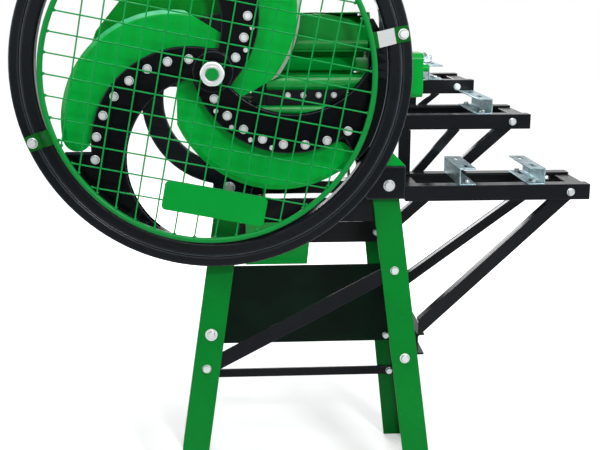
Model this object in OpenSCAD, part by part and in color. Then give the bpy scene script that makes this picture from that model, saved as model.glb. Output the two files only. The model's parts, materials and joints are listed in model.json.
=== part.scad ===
// Chaff cutter: a flywheel with three curved blades sweeps across a feed mouth.
// A worm on the main shaft turns two feed rollers, and a leg frame carries it all,
// with three stepped motor platforms on its right side.
// Millimetres, +Z up, the wheel faces -Y, X to the right of someone facing the wheel.

/* [Stand] */
// Height of the main shaft above the floor
shaft_z = 1110; // [1090:1:1140]
// Height of the bed that the casting stands on
bed_z = 800; // [780:1:815]
// Width of the leg angle iron
leg_w = 65; // [55:1:70]
// Thickness of the leg angle iron
leg_t = 6; // [4:0.5:8]
// Forward and backward splay of the leg pairs, degrees
leg_splay = 7; // [5:0.5:9]
// Sideways lean of the left legs, degrees
lean_left = 8.4; // [6:0.2:9]
// Sideways lean of the right legs, degrees
lean_right = 6.8; // [5:0.2:9]
// Top of the left legs, sideways from the shaft
leg_left_x = 32; // [25:1:40]
// Top of the right legs, sideways from the shaft
leg_right_x = 411; // [405:1:425]
// Face of the rear legs at the bed
leg_rear_y = 365; // [355:1:380]

/* [Wheel] */
// Diameter of the flywheel
wheel_d = 914; // [900:1:930]
// Radial width of the rim
rim_w = 56; // [50:1:60]
// Depth of the rim along the shaft
rim_t = 46; // [42:1:48]
// Diameter of the hub boss
hub_d = 104; // [98:1:108]
// Diameter of the boss in front of the hub
boss_d = 94; // [88:1:96]
// Thickness of the spokes
spoke_t = 24; // [20:1:24]
// Diameter of the main shaft in the hub and the bearings
shaft_d = 38; // [35:1:40]
// Diameter of the shaft's threaded front end
shaft_nose_d = 29; // [25:1:30]
// Diameter of the shaft's free rear end, the pulley seat
shaft_tail_d = 32; // [28:1:34]
// Length of the free rear end
shaft_tail_l = 75; // [60:1:80]

/* [Blades] */
// Thickness of a blade
blade_t = 6; // [5:0.5:7]
// Width of the ground bevel along the cutting edge
bevel_w = 12; // [8:1:14]
// Bolts in each blade
blade_bolts_n = 8; // [6:1:8]
// Diameter of the blade bolts
blade_bolt_d = 10; // [8:1:10]

/* [Guard] */
// From the rim's inside to the circle of the guard ring's bar
guard_inset = 27; // [23:1:33]
// Diameter of the ring's bar
guard_bar_d = 13; // [11:1:14]
// Diameter of the mesh wires
wire_d = 3.6; // [3:0.2:4]
// Pitch of the mesh wires
wire_pitch = 47; // [44:1:52]
// Turn of the mesh on the wheel, degrees
mesh_turn = -11; // [-15:1:0]
// Width of the bare plate on the mesh
plate_w = 238; // [200:1:240]
// Height of the bare plate
plate_h = 68; // [60:1:76]

/* [Feed] */
// Diameter of the lower feed roller over its ribs
lower_roller_d = 120; // [112:1:124]
// Diameter of the upper feed roller over its ribs
upper_roller_d = 104; // [96:1:108]
// Length of the feed rollers
roller_l = 238; // [230:1:240]
// Ribs on each roller
roller_ribs = 10; // [8:1:12]
// Diameter of the roller shafts
roller_shaft_d = 25; // [22:1:26]
// Teeth on each worm wheel
worm_teeth = 20; // [18:1:22]
// Pitch radius of the worm wheels
worm_wheel_r = 44; // [43:0.5:46]
// Pitch radius of the worm
worm_r = 28; // [27:0.5:29]
// Thickness of the throat's side plates
side_t = 6; // [5:0.5:8]
// Length of the feed trough
trough_l = 500; // [400:1:560]
// Height of the trough's sides
trough_h = 105; // [90:1:120]
// Thickness of the trough and cover sheet
sheet_t = 3; // [2:0.5:3]

/* [Motor platforms] */
// Right end of the front platform, from the shaft
near_x1 = 908; // [860:1:930]
// Height of the front platform
near_z = 832; // [826:1:840]
// Right end of the middle platform
mid_x1 = 812; // [780:1:840]
// Height of the middle platform
mid_z = 978; // [968:1:985]
// Right end of the rear platform
top_x1 = 716; // [690:1:740]
// Height of the rear platform
top_z = 1046; // [1040:1:1060]
// Leg of the platform angle iron
rail_w = 38; // [32:1:40]
// Thickness of the platform angle iron
rail_t = 5; // [4:0.5:6]
// Width and height of the slotted motor rails
motor_rail_w = 41; // [38:1:44]
// Width of the motor rail slots
slot_w = 11; // [9:0.5:13]
// Length of the motor rail slots, end to end
slot_l = 42; // [34:1:46]
// Thickness of the motor rail channel
motor_rail_t = 3.5; // [2.5:0.5:4]

/* [Hidden] */
$fn = 96;

paint = "#0A9A3C";
paint_leg = "#07872F";
iron = "#16181D";
zinc = "#A9BDC2";
bright = "#D5D8DA";

// Clearances: running fit of a shaft, and the gap between pieces that only meet
fit = 0.05;
gap = 0.3;

// Places along the shaft, from the rim's front face
wheel_r = wheel_d / 2;
rim_ri = wheel_r - rim_w;
hub_r = hub_d / 2;
boss_r = boss_d / 2;
spoke_y = 10;
hub_y0 = 4;
blade_y = spoke_y + spoke_t;
ledger_y = blade_y + blade_t + 2;
head_y = rim_t + 8;
head_t = 20;
back_y = head_y + head_t;
leg_front_y = back_y + gap;
leg_top_z = bed_z + 70;
hub_y1 = head_y - 4;
shaft_r = shaft_d / 2;
nose_r = shaft_nose_d / 2;
tail_r = shaft_tail_d / 2;

// Curves of the left spoke and its blade, as circles seen from the front.
// They are drawn for a rim of this inside radius and grow with it, so that they end at the rim.
drawn_rim_ri = 401;
reach = rim_ri / drawn_rim_ri;
spoke_out_c = reach * [-53, -173];
spoke_out_r = reach * 230;
spoke_in_c = reach * [-7, -208];
spoke_in_r = reach * 197;
edge_c = reach * [-93, -122];
edge_r = reach * 260;
blade_lap_r = reach * 190;
tip_z = reach * -150;
tip_r = reach * 34;

// The blade bolts follow the spoke and drift outward towards its tip
bolt_arc_r = reach * 202;
bolt_drift = reach * 0.42;
bolt_arc_a0 = 90.2;
bolt_arc_step = 13.8;
screw_offset = 13;
set_screws = [[120, [0, 1, 2, 3]], [240, [0, 1]]];

// Guard: the wires lie in two layers, crossing at the ring's middle
guard_y = -28;
guard_r = rim_ri - guard_inset;
guard_shift = [-8, -11];
wire_r = wire_d / 2;
layer = wire_r + 0.1;
lug_w = 36;
lug_t = 5;
lug_bolt_r = rim_ri + 39;
lug_angles = [201, 11];

// Feed train: the worm stands between the two worm wheels
feed_y = 150;
feed_a = worm_r + worm_wheel_r;
upper_z = shaft_z + feed_a;
lower_z = shaft_z - feed_a;
lower_roller_r = lower_roller_d / 2;
upper_roller_r = upper_roller_d / 2;
roller_shaft_r = roller_shaft_d / 2;
lead = 2 * PI * worm_wheel_r / worm_teeth;
side_in_l = 119;
side_in_r = side_in_l + roller_l + 5;
mouth_x0 = side_in_l + 3;
mouth_x1 = side_in_r - 3;
mouth_z0 = lower_z + lower_roller_r;
mouth_z1 = shaft_z + 40;
bush_r = roller_shaft_r + 5;
bracket_x = -50;
bracket_t = 10;
bracket_y = leg_rear_y - leg_w;
tail_y0 = bracket_y + 50;
tail_y1 = tail_y0 + shaft_tail_l;
throat_y1 = 330;
trough_y1 = throat_y1 + trough_l;
trough_z = shaft_z - 25;
cover_z = upper_z + upper_roller_r + 3;

// The platforms stand one behind the other, each on the rear rail of the last
foot_l = leg_left_x - 42;
foot_r = leg_right_x + 44;
near_x0 = foot_r + gap;
mid_x0 = 468;
top_x0 = 528;
near_y = [head_y, 258];
mid_y = [near_y[1], 500];
top_y = [mid_y[1], 760];

// Middle of the whole machine in plan, which becomes the origin
nose_y0 = -62;
mid_of_x = (near_x1 - wheel_r) / 2;
mid_of_y = (nose_y0 + trough_y1) / 2;

module placed() {
    translate([-mid_of_x, -mid_of_y, 0]) children();
}

module at_shaft() {
    placed() translate([0, 0, shaft_z]) children();
}

// A flat shape drawn as seen from the front, y0 to y0 + t deep
module front_slab(y0, t) {
    translate([0, y0 + t, 0]) rotate([90, 0, 0]) linear_extrude(t) children();
}

// A flat shape drawn as seen from the left side (y, z), x0 to x0 + t
module side_slab(x0, t) {
    translate([x0, 0, 0]) rotate([90, 0, 90]) linear_extrude(t) children();
}

// A round along the shaft's direction
module y_rod(y0, y1, r) {
    translate([0, y0, 0]) rotate([-90, 0, 0]) cylinder(h = y1 - y0, r = r);
}

module x_rod(x0, x1, r) {
    translate([x0, 0, 0]) rotate([0, 90, 0]) cylinder(h = x1 - x0, r = r);
}

// Hexagon head with its washer, standing on y = 0 and pointing to -y, and its shank
module bolt(shank_r, shank_l, head_r, washer_r) {
    y_rod(-2, 0, washer_r);
    translate([0, -2, 0]) rotate([90, 0, 0]) cylinder(h = head_r * 0.7, r = head_r, $fn = 6);
    y_rod(-2, shank_l, shank_r);
}

module rounded_plate(w, h, r) {
    union() {
        square([w - 2 * r, h], center = true);
        square([w, h - 2 * r], center = true);
        for (sx = [-1, 1], sz = [-1, 1])
            translate([sx * (w / 2 - r), sz * (h / 2 - r)]) circle(r = r);
    }
}

// Flat bar between two points of a plane, w wide, with square ends
module flat_between(p, q, w) {
    d = q - p;
    translate(p) rotate(atan2(d[1], d[0])) translate([0, -w / 2]) square([norm(d), w]);
}

// The flywheel and its blades

function on_bolt_arc(k, out) = let (a = bolt_arc_a0 + bolt_arc_step * k)
    spoke_out_c + (bolt_arc_r + bolt_drift * k * k + out) * [cos(a), sin(a)];
function blade_bolt_at(k) = on_bolt_arc(k, 0);

// Crescent spoke that flares into the rim at its outer end
module spoke_2d() {
    intersection() {
        difference() {
            union() {
                translate(spoke_out_c) circle(r = spoke_out_r);
                intersection() {
                    translate(edge_c) circle(r = edge_r);
                    translate([-wheel_r, -wheel_r]) square([wheel_r, wheel_r + tip_z - tip_r]);
                }
            }
            translate(spoke_in_c) circle(r = spoke_in_r);
        }
        circle(r = rim_ri + 4);
        translate([-wheel_r, -wheel_r]) square([wheel_r, 2 * wheel_r]);
    }
}

module blade_bolt_holes() {
    for (k = [0 : blade_bolts_n - 1])
        translate(blade_bolt_at(k)) circle(d = blade_bolt_d + 2 * gap);
}

module rim_section() {
    polygon([
        [rim_ri, 8], [rim_ri + 5, 2], [rim_ri + 29, 2], [rim_ri + 29, 5],
        [rim_ri + 33, 5], [rim_ri + 33, 0], [wheel_r - 3, 0], [wheel_r, 3],
        [wheel_r, rim_t - 3], [wheel_r - 3, rim_t], [rim_ri + 6, rim_t], [rim_ri, rim_t - 8]
    ]);
}

module flywheel() {
    color(iron) at_shaft() difference() {
        union() {
            rotate([-90, 0, 0]) rotate_extrude() rim_section();
            y_rod(hub_y0, hub_y1, boss_r);
            y_rod(spoke_y, hub_y1, hub_r);
            for (k = [0 : 2])
                front_slab(spoke_y, spoke_t) rotate(120 * k) spoke_2d();
        }
        y_rod(hub_y0 - 1, hub_y1 + 1, shaft_r + fit);
        for (k = [0 : 2])
            front_slab(spoke_y - 1, spoke_t + 2) rotate(120 * k) blade_bolt_holes();
        for (a = lug_angles)
            rotate([0, -a, 0]) translate([lug_bolt_r, 0, 0]) y_rod(-1, 30, 5 + fit);
    }
}

// Crescent blade, drawn for the left spoke
module blade_2d() {
    difference() {
        union() {
            intersection() {
                translate(edge_c) circle(r = edge_r);
                polygon(reach * [
                    [-420, -150], [-420, 257], [-262, 257], [42, 72], [0, 38],
                    [0, -215], [-283, -215], [-283, -150]
                ]);
            }
            translate([edge_c[0] - edge_r + tip_r + 2, tip_z]) circle(r = tip_r);
        }
        translate(spoke_out_c) circle(r = blade_lap_r);
        circle(r = hub_r + gap);
        blade_bolt_holes();
    }
}

module blade(turn) {
    color(paint) at_shaft() rotate([0, -turn, 0]) difference() {
        front_slab(blade_y, blade_t) blade_2d();
        translate([edge_c[0], blade_y, edge_c[1]]) rotate([-90, 0, 0]) rotate_extrude() polygon([
            [edge_r - bevel_w, -1], [edge_r + 2, -1], [edge_r + 2, blade_t - 1],
            [edge_r, blade_t - 1], [edge_r - bevel_w, 0]
        ]);
    }
}

module blade_left() blade(0);
module blade_top() blade(-120);
module blade_right() blade(120);

module blade_bolts() {
    color(bright) at_shaft() for (turn = [0, 120, 240], k = [0 : blade_bolts_n - 1]) {
        p = blade_bolt_at(k);
        rotate([0, -turn, 0]) translate([p[0], spoke_y, p[1]])
            bolt(blade_bolt_d / 2, spoke_t + blade_t - 0.2, 9.5, 12);
    }
    // Small screws that set the blade, between the bolts of two spokes
    color(bright) at_shaft() for (s = set_screws, k = s[1]) {
        p = on_bolt_arc(k + 0.5, screw_offset);
        rotate([0, -s[0], 0]) translate([p[0], spoke_y, p[1]]) y_rod(-6, 0, 6.5);
    }
}

// The guard that turns with the wheel

// Reach of the ring's outside from the shaft, in the direction of a lug
function ring_reach(a) = guard_r + guard_bar_d / 2 + guard_shift * [cos(a), sin(a)];

// Strap bent down from the ring to the rim's face, drawn as its side view (radius, depth)
module guard_lug(a) {
    r0 = ring_reach(a) - 4;
    r1 = ring_reach(a) + 8;
    r2 = rim_ri + 20;
    r3 = wheel_r - 3;
    f = guard_y - lug_t / 2;
    rotate([0, -a, 0]) difference() {
        translate([0, 0, -lug_w / 2]) linear_extrude(lug_w) polygon([
            [r0, f], [r1, f], [r2, -lug_t], [r3, -lug_t],
            [r3, 0], [r2 - 2, 0], [r1 - 2, f + lug_t], [r0, f + lug_t]
        ]);
        translate([lug_bolt_r, 0, 0]) y_rod(-lug_t - 1, 1, 5 + gap);
    }
}

module guard_ring() {
    color(paint) at_shaft() union() {
        translate([guard_shift[0], guard_y, guard_shift[1]]) rotate([-90, 0, 0])
            rotate_extrude() translate([guard_r, 0]) circle(d = guard_bar_d);
        for (a = lug_angles) guard_lug(a);
    }
}

// Half length of a wire that runs at a distance from the ring's centre
function wire_half(off) = sqrt(pow(guard_r - guard_bar_d / 2, 2) - pow(abs(off) + wire_r, 2)) - gap;

module guard_mesh() {
    c = [guard_shift[0] * cos(mesh_turn) + guard_shift[1] * sin(mesh_turn),
         guard_shift[1] * cos(mesh_turn) - guard_shift[0] * sin(mesh_turn)];
    n = floor((guard_r - guard_bar_d - norm(guard_shift)) / wire_pitch - 0.5);
    color(paint) at_shaft() rotate([0, -mesh_turn, 0]) for (k = [-n - 1 : n]) {
        o = (k + 0.5) * wire_pitch;
        hz = wire_half(o - c[0]);
        hx = wire_half(o - c[1]);
        translate([o, guard_y - layer, c[1] - hz]) cylinder(h = 2 * hz, r = wire_r, $fn = 24);
        translate([c[0], guard_y + layer, o]) x_rod(-hx, hx, wire_r, $fn = 24);
    }
}

module guard_plate() {
    color(paint) at_shaft() rotate([0, -mesh_turn, 0])
        front_slab(guard_y - layer - wire_r - gap - 1.5, 1.5)
            translate([56, 82 - guard_r]) rounded_plate(plate_w, plate_h, 10);
}

module guard_bolts() {
    color(bright) at_shaft() for (a = lug_angles)
        rotate([0, -a, 0]) translate([lug_bolt_r, -lug_t, 0]) bolt(5, 28, 11, 14);
}

// The main shaft and what is on it

nut_y1 = guard_y - layer - wire_r - 3 - gap;

module hub_nut() {
    color(bright) at_shaft() difference() {
        intersection() {
            y_rod(nut_y1 - 22, nut_y1, 27.5);
            translate([0, nut_y1 + 1, 0]) rotate([90, 0, 0]) cylinder(h = 24, r = 31, $fn = 6);
        }
        y_rod(nut_y1 - 23, nut_y1 + 1, nose_r + fit);
    }
}

module hub_washer() {
    color(bright) at_shaft() difference() {
        y_rod(nut_y1, nut_y1 + 3, 34);
        y_rod(nut_y1 - 1, nut_y1 + 4, nose_r + fit);
    }
}

module hub_sleeve() {
    color(iron) at_shaft() difference() {
        y_rod(guard_y + layer + wire_r + gap, hub_y0, 26);
        y_rod(guard_y, hub_y0 + 1, nose_r + fit);
    }
}

module main_shaft() {
    color(paint) at_shaft() union() {
        y_rod(nose_y0, hub_y0, nose_r);
        y_rod(hub_y0, tail_y0, shaft_r);
        y_rod(tail_y0, tail_y1, tail_r);
    }
}

// Single-start right-hand worm thread, a trapezium swept along its helix
worm_turns = 4.5;
worm_core_r = worm_r - 4.8;
worm_tip_r = worm_r + 4;
thread_seg = 20;
thread_n = worm_turns * thread_seg;
thread_root = 3.6;
thread_tip = 1.6;

function thread_ring(i) = let (a = (i / thread_seg - worm_turns / 2) * 360, y = lead * a / 360)
    [for (c = [[worm_core_r - 1, -thread_root], [worm_tip_r, -thread_tip],
               [worm_tip_r, thread_tip], [worm_core_r - 1, thread_root]])
        [c[0] * sin(a), y + c[1], c[0] * cos(a)]];

module worm_thread() {
    points = [for (i = [0 : thread_n]) for (p = thread_ring(i)) p];
    sides = [for (i = [0 : thread_n - 1]) for (j = [0 : 3]) let (
        a = 4 * i + j, b = 4 * i + (j + 1) % 4, c = a + 4, d = b + 4) each [[a, b, c], [b, d, c]]];
    last = 4 * thread_n;
    ends = [[0, 2, 1], [0, 3, 2], [last, last + 1, last + 2], [last, last + 2, last + 3]];
    polyhedron(points, concat(sides, ends), convexity = 8);
}

module worm() {
    color(bright) at_shaft() translate([0, feed_y, 0]) difference() {
        union() {
            y_rod(-lead * 2.7, lead * 2.7, worm_core_r);
            worm_thread();
        }
        y_rod(-lead * 3, lead * 3, shaft_r + fit);
    }
}

// The feed rollers and their worm wheels

module roller(z, r) {
    color(paint) placed() translate([0, feed_y, z]) difference() {
        translate([side_in_l + 2.5, 0, 0]) rotate([90, 0, 90]) linear_extrude(roller_l) union() {
            circle(r = r - 9);
            for (k = [0 : roller_ribs - 1]) rotate(k * 360 / roller_ribs) polygon([
                [r - 14, -9], [r - 4, -5], [r - 0.5, -2.5], [r - 0.5, 2.5], [r - 4, 5], [r - 14, 9]
            ]);
        }
        x_rod(side_in_l, side_in_r, roller_shaft_r + fit);
    }
}

module roller_shaft(z) {
    color(bright) placed() translate([0, feed_y, z])
        x_rod(bracket_x - 4, side_in_r + side_t + 20, roller_shaft_r);
}

// Worm wheel with straight-sided teeth, wide enough apart for a loose mesh
module worm_wheel(z, first) {
    root_r = worm_wheel_r - 5.2;
    tip = worm_wheel_r + 4;
    color(bright) placed() translate([0, feed_y, z]) difference() {
        rotate([90, 0, 90]) linear_extrude(18, center = true) union() {
            circle(r = root_r);
            for (k = [0 : worm_teeth - 1]) rotate(first + k * 360 / worm_teeth) polygon([
                [root_r - 2, -4.2], [tip, -1.7], [tip, 1.7], [root_r - 2, 4.2]
            ]);
        }
        x_rod(-10, 10, roller_shaft_r + fit);
    }
}

module lower_roller() roller(lower_z, lower_roller_r);
module lower_roller_shaft() roller_shaft(lower_z);
module lower_worm_wheel() worm_wheel(lower_z, 90);
module upper_roller() roller(upper_z, upper_roller_r);
module upper_roller_shaft() roller_shaft(upper_z);
module upper_worm_wheel() worm_wheel(upper_z, -90 + 180 / worm_teeth);

// The head casting and the throat behind it

shoulder_c = [32, shaft_z - 70];
shoulder_r = 200;
cap_z0 = mouth_z1 + 2;
cap_z1 = mouth_z1 + 77;

module head_2d() {
    difference() {
        union() {
            translate(shoulder_c) circle(r = shoulder_r);
            polygon([
                [foot_l, bed_z], [foot_l + 90, bed_z], [110, bed_z + 105], [330, bed_z + 105],
                [foot_r - 93, bed_z], [foot_r, bed_z], [foot_r, bed_z + 80],
                [side_in_r + 43, bed_z + 80], [side_in_r + 43, mouth_z1 + 20],
                [side_in_r + 9, cap_z1], [mouth_x1, cap_z1], [mouth_x1, mouth_z1],
                [mouth_x0, mouth_z1], [mouth_x0, shaft_z + 126], [shoulder_c[0], shaft_z + 126]
            ]);
        }
        polygon([[mouth_x0, mouth_z0], [mouth_x1 - 8, mouth_z0], [mouth_x1, mouth_z0 + 12],
            [mouth_x1, cap_z1 + 1], [mouth_x0, cap_z1 + 1]]);
        translate([mouth_x0, shaft_z + 50]) square([150, 120]);
        difference() {
            intersection() {
                translate(shoulder_c) circle(r = shoulder_r - 50);
                translate([-200, bed_z]) square([200 + 88, shoulder_c[1] + 32 - bed_z]);
            }
            translate([0, shaft_z]) circle(r = 78);
        }
        translate([0, shaft_z]) circle(r = shaft_r + 6);
    }
}

module head_plate() {
    color(iron) placed() difference() {
        front_slab(head_y, head_t) head_2d();
        for (x = foot_bolt_x)
            translate([x, 0, foot_bolt_z]) y_rod(head_y - 1, back_y + 1, 8 + gap);
    }
}

// Green front of the throat above the mouth: an arched plate with a rolled lower edge,
// and the sheet that covers the rollers
cap_arch_r = 218;
cap_arch_c = [(mouth_x0 + mouth_x1) / 2, cap_z1 + 10 - cap_arch_r];
cap_roll_r = 14;

module cap_arch(r) {
    intersection() {
        translate(cap_arch_c) circle(r = r);
        translate([mouth_x0 + gap, cap_z0]) square([mouth_x1 - mouth_x0 - 2 * gap, 2 * cap_arch_r]);
    }
}

module mouth_cap() {
    color(paint) placed() {
        union() {
            front_slab(head_y, 8) cap_arch(cap_arch_r);
            front_slab(head_y, head_t + 10) difference() {
                cap_arch(cap_arch_r);
                translate(cap_arch_c) circle(r = cap_arch_r - 5);
            }
            translate([0, head_y + cap_roll_r - 5, cap_z0 + cap_roll_r])
                x_rod(mouth_x0 + gap, mouth_x1 - gap, cap_roll_r);
        }
        translate([side_in_l - side_t, back_y + 26, cover_z + gap])
            cube([side_in_r - side_in_l + 2 * side_t, throat_y1 - 70 - back_y - 26, sheet_t]);
    }
}

// The pieces under the mouth end at the casting's right arm, which slopes outward
function arm_x(z) = mouth_x1 - 58 + 0.66 * (z - shaft_z + 93);

module under_mouth(x0, z0, z1) {
    polygon([[x0, z0], [arm_x(z0), z0], [arm_x(z1), z1], [x0, z1]]);
}

// Rounded bar along X that stands out from the casting's face as far as the blades allow,
// with a skirt down to z_low
function bar_half(r) = sqrt(r * r - pow(head_y - ledger_y - r, 2));

module half_round(x0, z_top, r, z_low) {
    z = z_top - bar_half(r);
    intersection() {
        union() {
            translate([0, ledger_y + r, z]) x_rod(x0 - 1, mouth_x1, r);
            if (z_low < z - r) translate([x0 - 1, head_y - skirt_t, z_low - 1])
                cube([mouth_x1 - x0, skirt_t + 1, z - z_low]);
        }
        front_slab(ledger_y - 1, head_y - ledger_y + 1) under_mouth(x0, min(z_low, z - r), z + r);
    }
}

lip_r = 18;
apron_r = 14;
skirt_t = 6;
apron_x0 = 92;
ledger_t = 5;
ledger_z1 = mouth_z0 - 1 - 2 * bar_half(lip_r) - gap;
ledger_z0 = ledger_z1 - 34;
apron_z0 = bed_z + 135;

// Rounded green sill under the mouth, and the green apron below the ledger plate
module throat_lip() {
    color(paint) placed() {
        half_round(mouth_x0, mouth_z0 - 1, lip_r, mouth_z0);
        half_round(apron_x0, ledger_z0 - gap, apron_r, apron_z0);
    }
}

function ledger_bolt_x(k) = mouth_x0 + 50 + 36 * k;

module ledger_plate() {
    color(iron) placed() front_slab(head_y - ledger_t, ledger_t) difference() {
        under_mouth(mouth_x0, ledger_z0, ledger_z1);
        for (k = [0 : 4]) translate([ledger_bolt_x(k), ledger_z1 - 11]) circle(r = 4 + gap);
    }
}

module ledger_bolts() {
    color(bright) placed() for (k = [0 : 4])
        translate([ledger_bolt_x(k), head_y - ledger_t, ledger_z1 - 11]) bolt(4, ledger_t, 6, 8);
}

bearing_r = 42;
bearing_flange_r = 56;
bearing_flange_t = 10;
front_bearing_l = 24;

module bearing_housing(y0, l) {
    difference() {
        union() {
            y_rod(y0, y0 + bearing_flange_t, bearing_flange_r);
            y_rod(y0, y0 + l, bearing_r);
        }
        y_rod(y0 - 1, y0 + l + 1, shaft_r + fit);
    }
}

module front_bearing() {
    color(iron) at_shaft() bearing_housing(back_y, front_bearing_l);
}

module rear_bearing() {
    color(iron) at_shaft() bearing_housing(bracket_y + 16, 30);
}

// Standing plate on the rear bed rail that holds the rear bearing
module bearing_bracket() {
    color(iron) placed() front_slab(bracket_y, 16) difference() {
        union() {
            translate([0, shaft_z]) circle(r = 60);
            polygon([
                [leg_left_x - 20, bed_z], [side_in_l - side_t - 1, bed_z],
                [side_in_l - side_t - 1, shaft_z - 20], [57, shaft_z + 18], [-59, shaft_z - 12]
            ]);
        }
        translate([0, shaft_z]) circle(r = shaft_r + 4);
        translate([58, shaft_z - 160]) circle(r = 24);
    }
}

// Plate beyond the worm wheels that holds the roller shafts' left ends
module gear_bracket() {
    color(iron) placed() difference() {
        side_slab(bracket_x, bracket_t) polygon([
            [back_y, shaft_z - 110], [feed_y - 10, shaft_z - 110], [feed_y + 35, shaft_z - 80],
            [feed_y + 35, shaft_z + 80], [feed_y - 10, shaft_z + 110], [back_y, shaft_z + 110]
        ]);
        for (z = [lower_z, upper_z])
            translate([0, feed_y, z]) x_rod(bracket_x - 1, bracket_x + bracket_t + 1, bush_r);
        translate([0, 0, shaft_z]) {
            y_rod(back_y - 1, back_y + bearing_flange_t + gap, bearing_flange_r + gap);
            y_rod(back_y - 1, back_y + front_bearing_l + gap, bearing_r + gap);
        }
    }
}

module gear_guard_2d() {
    polygon([
        [-288, shaft_z + 40], [-268, shaft_z + 90], [-207, shaft_z + 163], [-120, shaft_z + 206],
        [60, shaft_z + 218], [104, shaft_z + 188], [104, shaft_z + 40]
    ]);
}

// Sheet hood over the worm wheels, open below and behind
module gear_guard() {
    color(paint) placed() difference() {
        front_slab(back_y, 190) gear_guard_2d();
        front_slab(back_y + sheet_t, 190) intersection() {
            offset(delta = -sheet_t) gear_guard_2d();
            translate([-400, 0]) square([800, 2 * shaft_z]);
        }
        translate([-288 + 2 * sheet_t, back_y + sheet_t, shaft_z + 30])
            cube([288 + 104 - 3 * sheet_t, 200, 20]);
        front_slab(back_y - 1, sheet_t + 2) translate([0, shaft_z]) circle(r = 62);
        translate([bracket_x - 1, back_y - 1, shaft_z]) cube([bracket_t + 2, sheet_t + 2, 112]);
        translate([0, feed_y, upper_z]) x_rod(90, 120, bush_r);
    }
}

bush_places = [
    [bracket_x, bracket_t], [side_in_l - side_t, side_t], [side_in_r, side_t]
];

module roller_bushes() {
    color(bright) placed() for (b = bush_places, z = [lower_z, upper_z])
        translate([b[0], feed_y, z]) difference() {
            x_rod(0, b[1], bush_r);
            x_rod(-1, b[1] + 1, roller_shaft_r + fit);
        }
}

// Cheek of the throat, from the bed up to the cover
module throat_side_2d() {
    difference() {
        polygon([
            [back_y + 26, bed_z], [throat_y1, bed_z], [throat_y1 - 60, bed_z + 90],
            [throat_y1 - 60, trough_z - 80], [throat_y1, trough_z - 40],
            [throat_y1, trough_z + trough_h], [throat_y1 - 70, cover_z],
            [back_y + 26, cover_z], [back_y, upper_z + 30], [back_y, shaft_z - 140],
            [back_y + 26, shaft_z - 190]
        ]);
        for (z = [lower_z, upper_z]) translate([feed_y, z]) circle(r = bush_r);
    }
}

module throat_side_left() {
    color(paint) placed() side_slab(side_in_l - side_t, side_t) throat_side_2d();
}

// The right cheek, and the green gusset that stands on the casting's right foot
module throat_side_right() {
    color(paint) placed() {
        side_slab(side_in_r, side_t) throat_side_2d();
        front_slab(head_y + 4, head_t - 8) translate([side_in_r + 43 + gap, bed_z + 80 + gap])
            polygon([[0, 0], [50, 0], [0, 50]]);
    }
}

// Closed case over the right end of the lower roller's shaft, with a plain boss
module gear_case() {
    x0 = side_in_r + side_t;
    color(paint) placed() difference() {
        union() {
            side_slab(x0, 60) translate([feed_y, shaft_z - 37]) rounded_plate(92, 142, 16);
            side_slab(x0, 132) translate([feed_y, shaft_z - 19]) rounded_plate(92, 106, 16);
            translate([0, feed_y, shaft_z - 4]) x_rod(x0 + 130, x0 + 152, 9);
        }
        translate([0, feed_y, lower_z]) x_rod(x0 - 1, x0 + 24, roller_shaft_r + 3);
    }
}

// Open feed trough, folded from sheet, with a flange at its front
module feed_trough() {
    w = side_in_r - side_in_l + 2 * side_t;
    color(paint) placed() translate([side_in_l - side_t, throat_y1, trough_z]) difference() {
        cube([w, trough_l, trough_h]);
        translate([sheet_t, -1, sheet_t]) cube([w - 2 * sheet_t, trough_l + 2, trough_h]);
    }
}

// The leg frame

function leg_x(side) = side < 0 ? leg_left_x : leg_right_x;
function leg_lean(side) = side < 0 ? lean_left : lean_right;
function leg_y(pair) = pair < 0 ? leg_front_y : leg_rear_y;

// The sloping plane of the front pair (-1) or the rear pair (1) of legs
module in_plane(pair) {
    placed() translate([0, leg_y(pair), bed_z]) rotate([pair * leg_splay, 0, 0]) children();
}

// A leg's own frame: z runs up the leg, y = 0 is the face of its broad flange
module on_leg(side, pair) {
    in_plane(pair) translate([leg_x(side), 0, 0]) rotate([0, -side * leg_lean(side), 0]) children();
}

module angle_2d(side, pair) {
    in_y = -pair;
    y0 = min(0, in_y * leg_t);
    ys = min(0, in_y * leg_w);
    union() {
        translate([-leg_w / 2, y0]) square([leg_w, leg_t]);
        translate([side > 0 ? leg_w / 2 - leg_t : -leg_w / 2, ys]) square([leg_t, leg_w]);
    }
}

// Bolts through the legs: side, pair, height, washer radius, what lies behind the flange
leg_bolts = [
    [-1, -1, 472, 17, 0], [-1, -1, 388, 12, 6], [1, -1, 622, 12, 6], [1, -1, 404, 14, 0],
    [-1, 1, 645, 11, 8], [1, 1, 645, 11, 8], [-1, 1, 330, 11, 3], [1, 1, 330, 11, 3],
    [-1, 1, 218, 11, 6], [1, 1, 218, 11, 6]
];
leg_bolt_r = 6;
foot_bolt_x = [leg_left_x, leg_right_x + 4];
foot_bolt_z = bed_z + 34;

// Depth down a sloping pair of legs for a height above the floor
function down(z) = -(bed_z - z) / cos(leg_splay);

// Sideways place of a leg's middle at a depth down its plane
function leg_mid(side, d) = leg_x(side) - side * d * tan(leg_lean(side));

module leg(side, pair) {
    top = pair < 0 ? leg_top_z : bed_z;
    color(paint_leg) difference() {
        intersection() {
            on_leg(side, pair) translate([0, 0, -bed_z - 60]) linear_extrude(bed_z + 180)
                angle_2d(side, pair);
            translate([-1500, -1500, 0]) cube([3000, 3000, top]);
        }
        for (b = leg_bolts) if (b[0] == side && b[1] == pair)
            in_plane(pair) translate([leg_mid(side, down(b[2])), 0, down(b[2])])
                y_rod(-leg_t - 9, leg_t + 9, leg_bolt_r + gap);
        if (pair < 0) placed() translate([foot_bolt_x[(side + 1) / 2], 0, foot_bolt_z])
            y_rod(head_y, back_y + 40, 8 + gap);
    }
}

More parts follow.
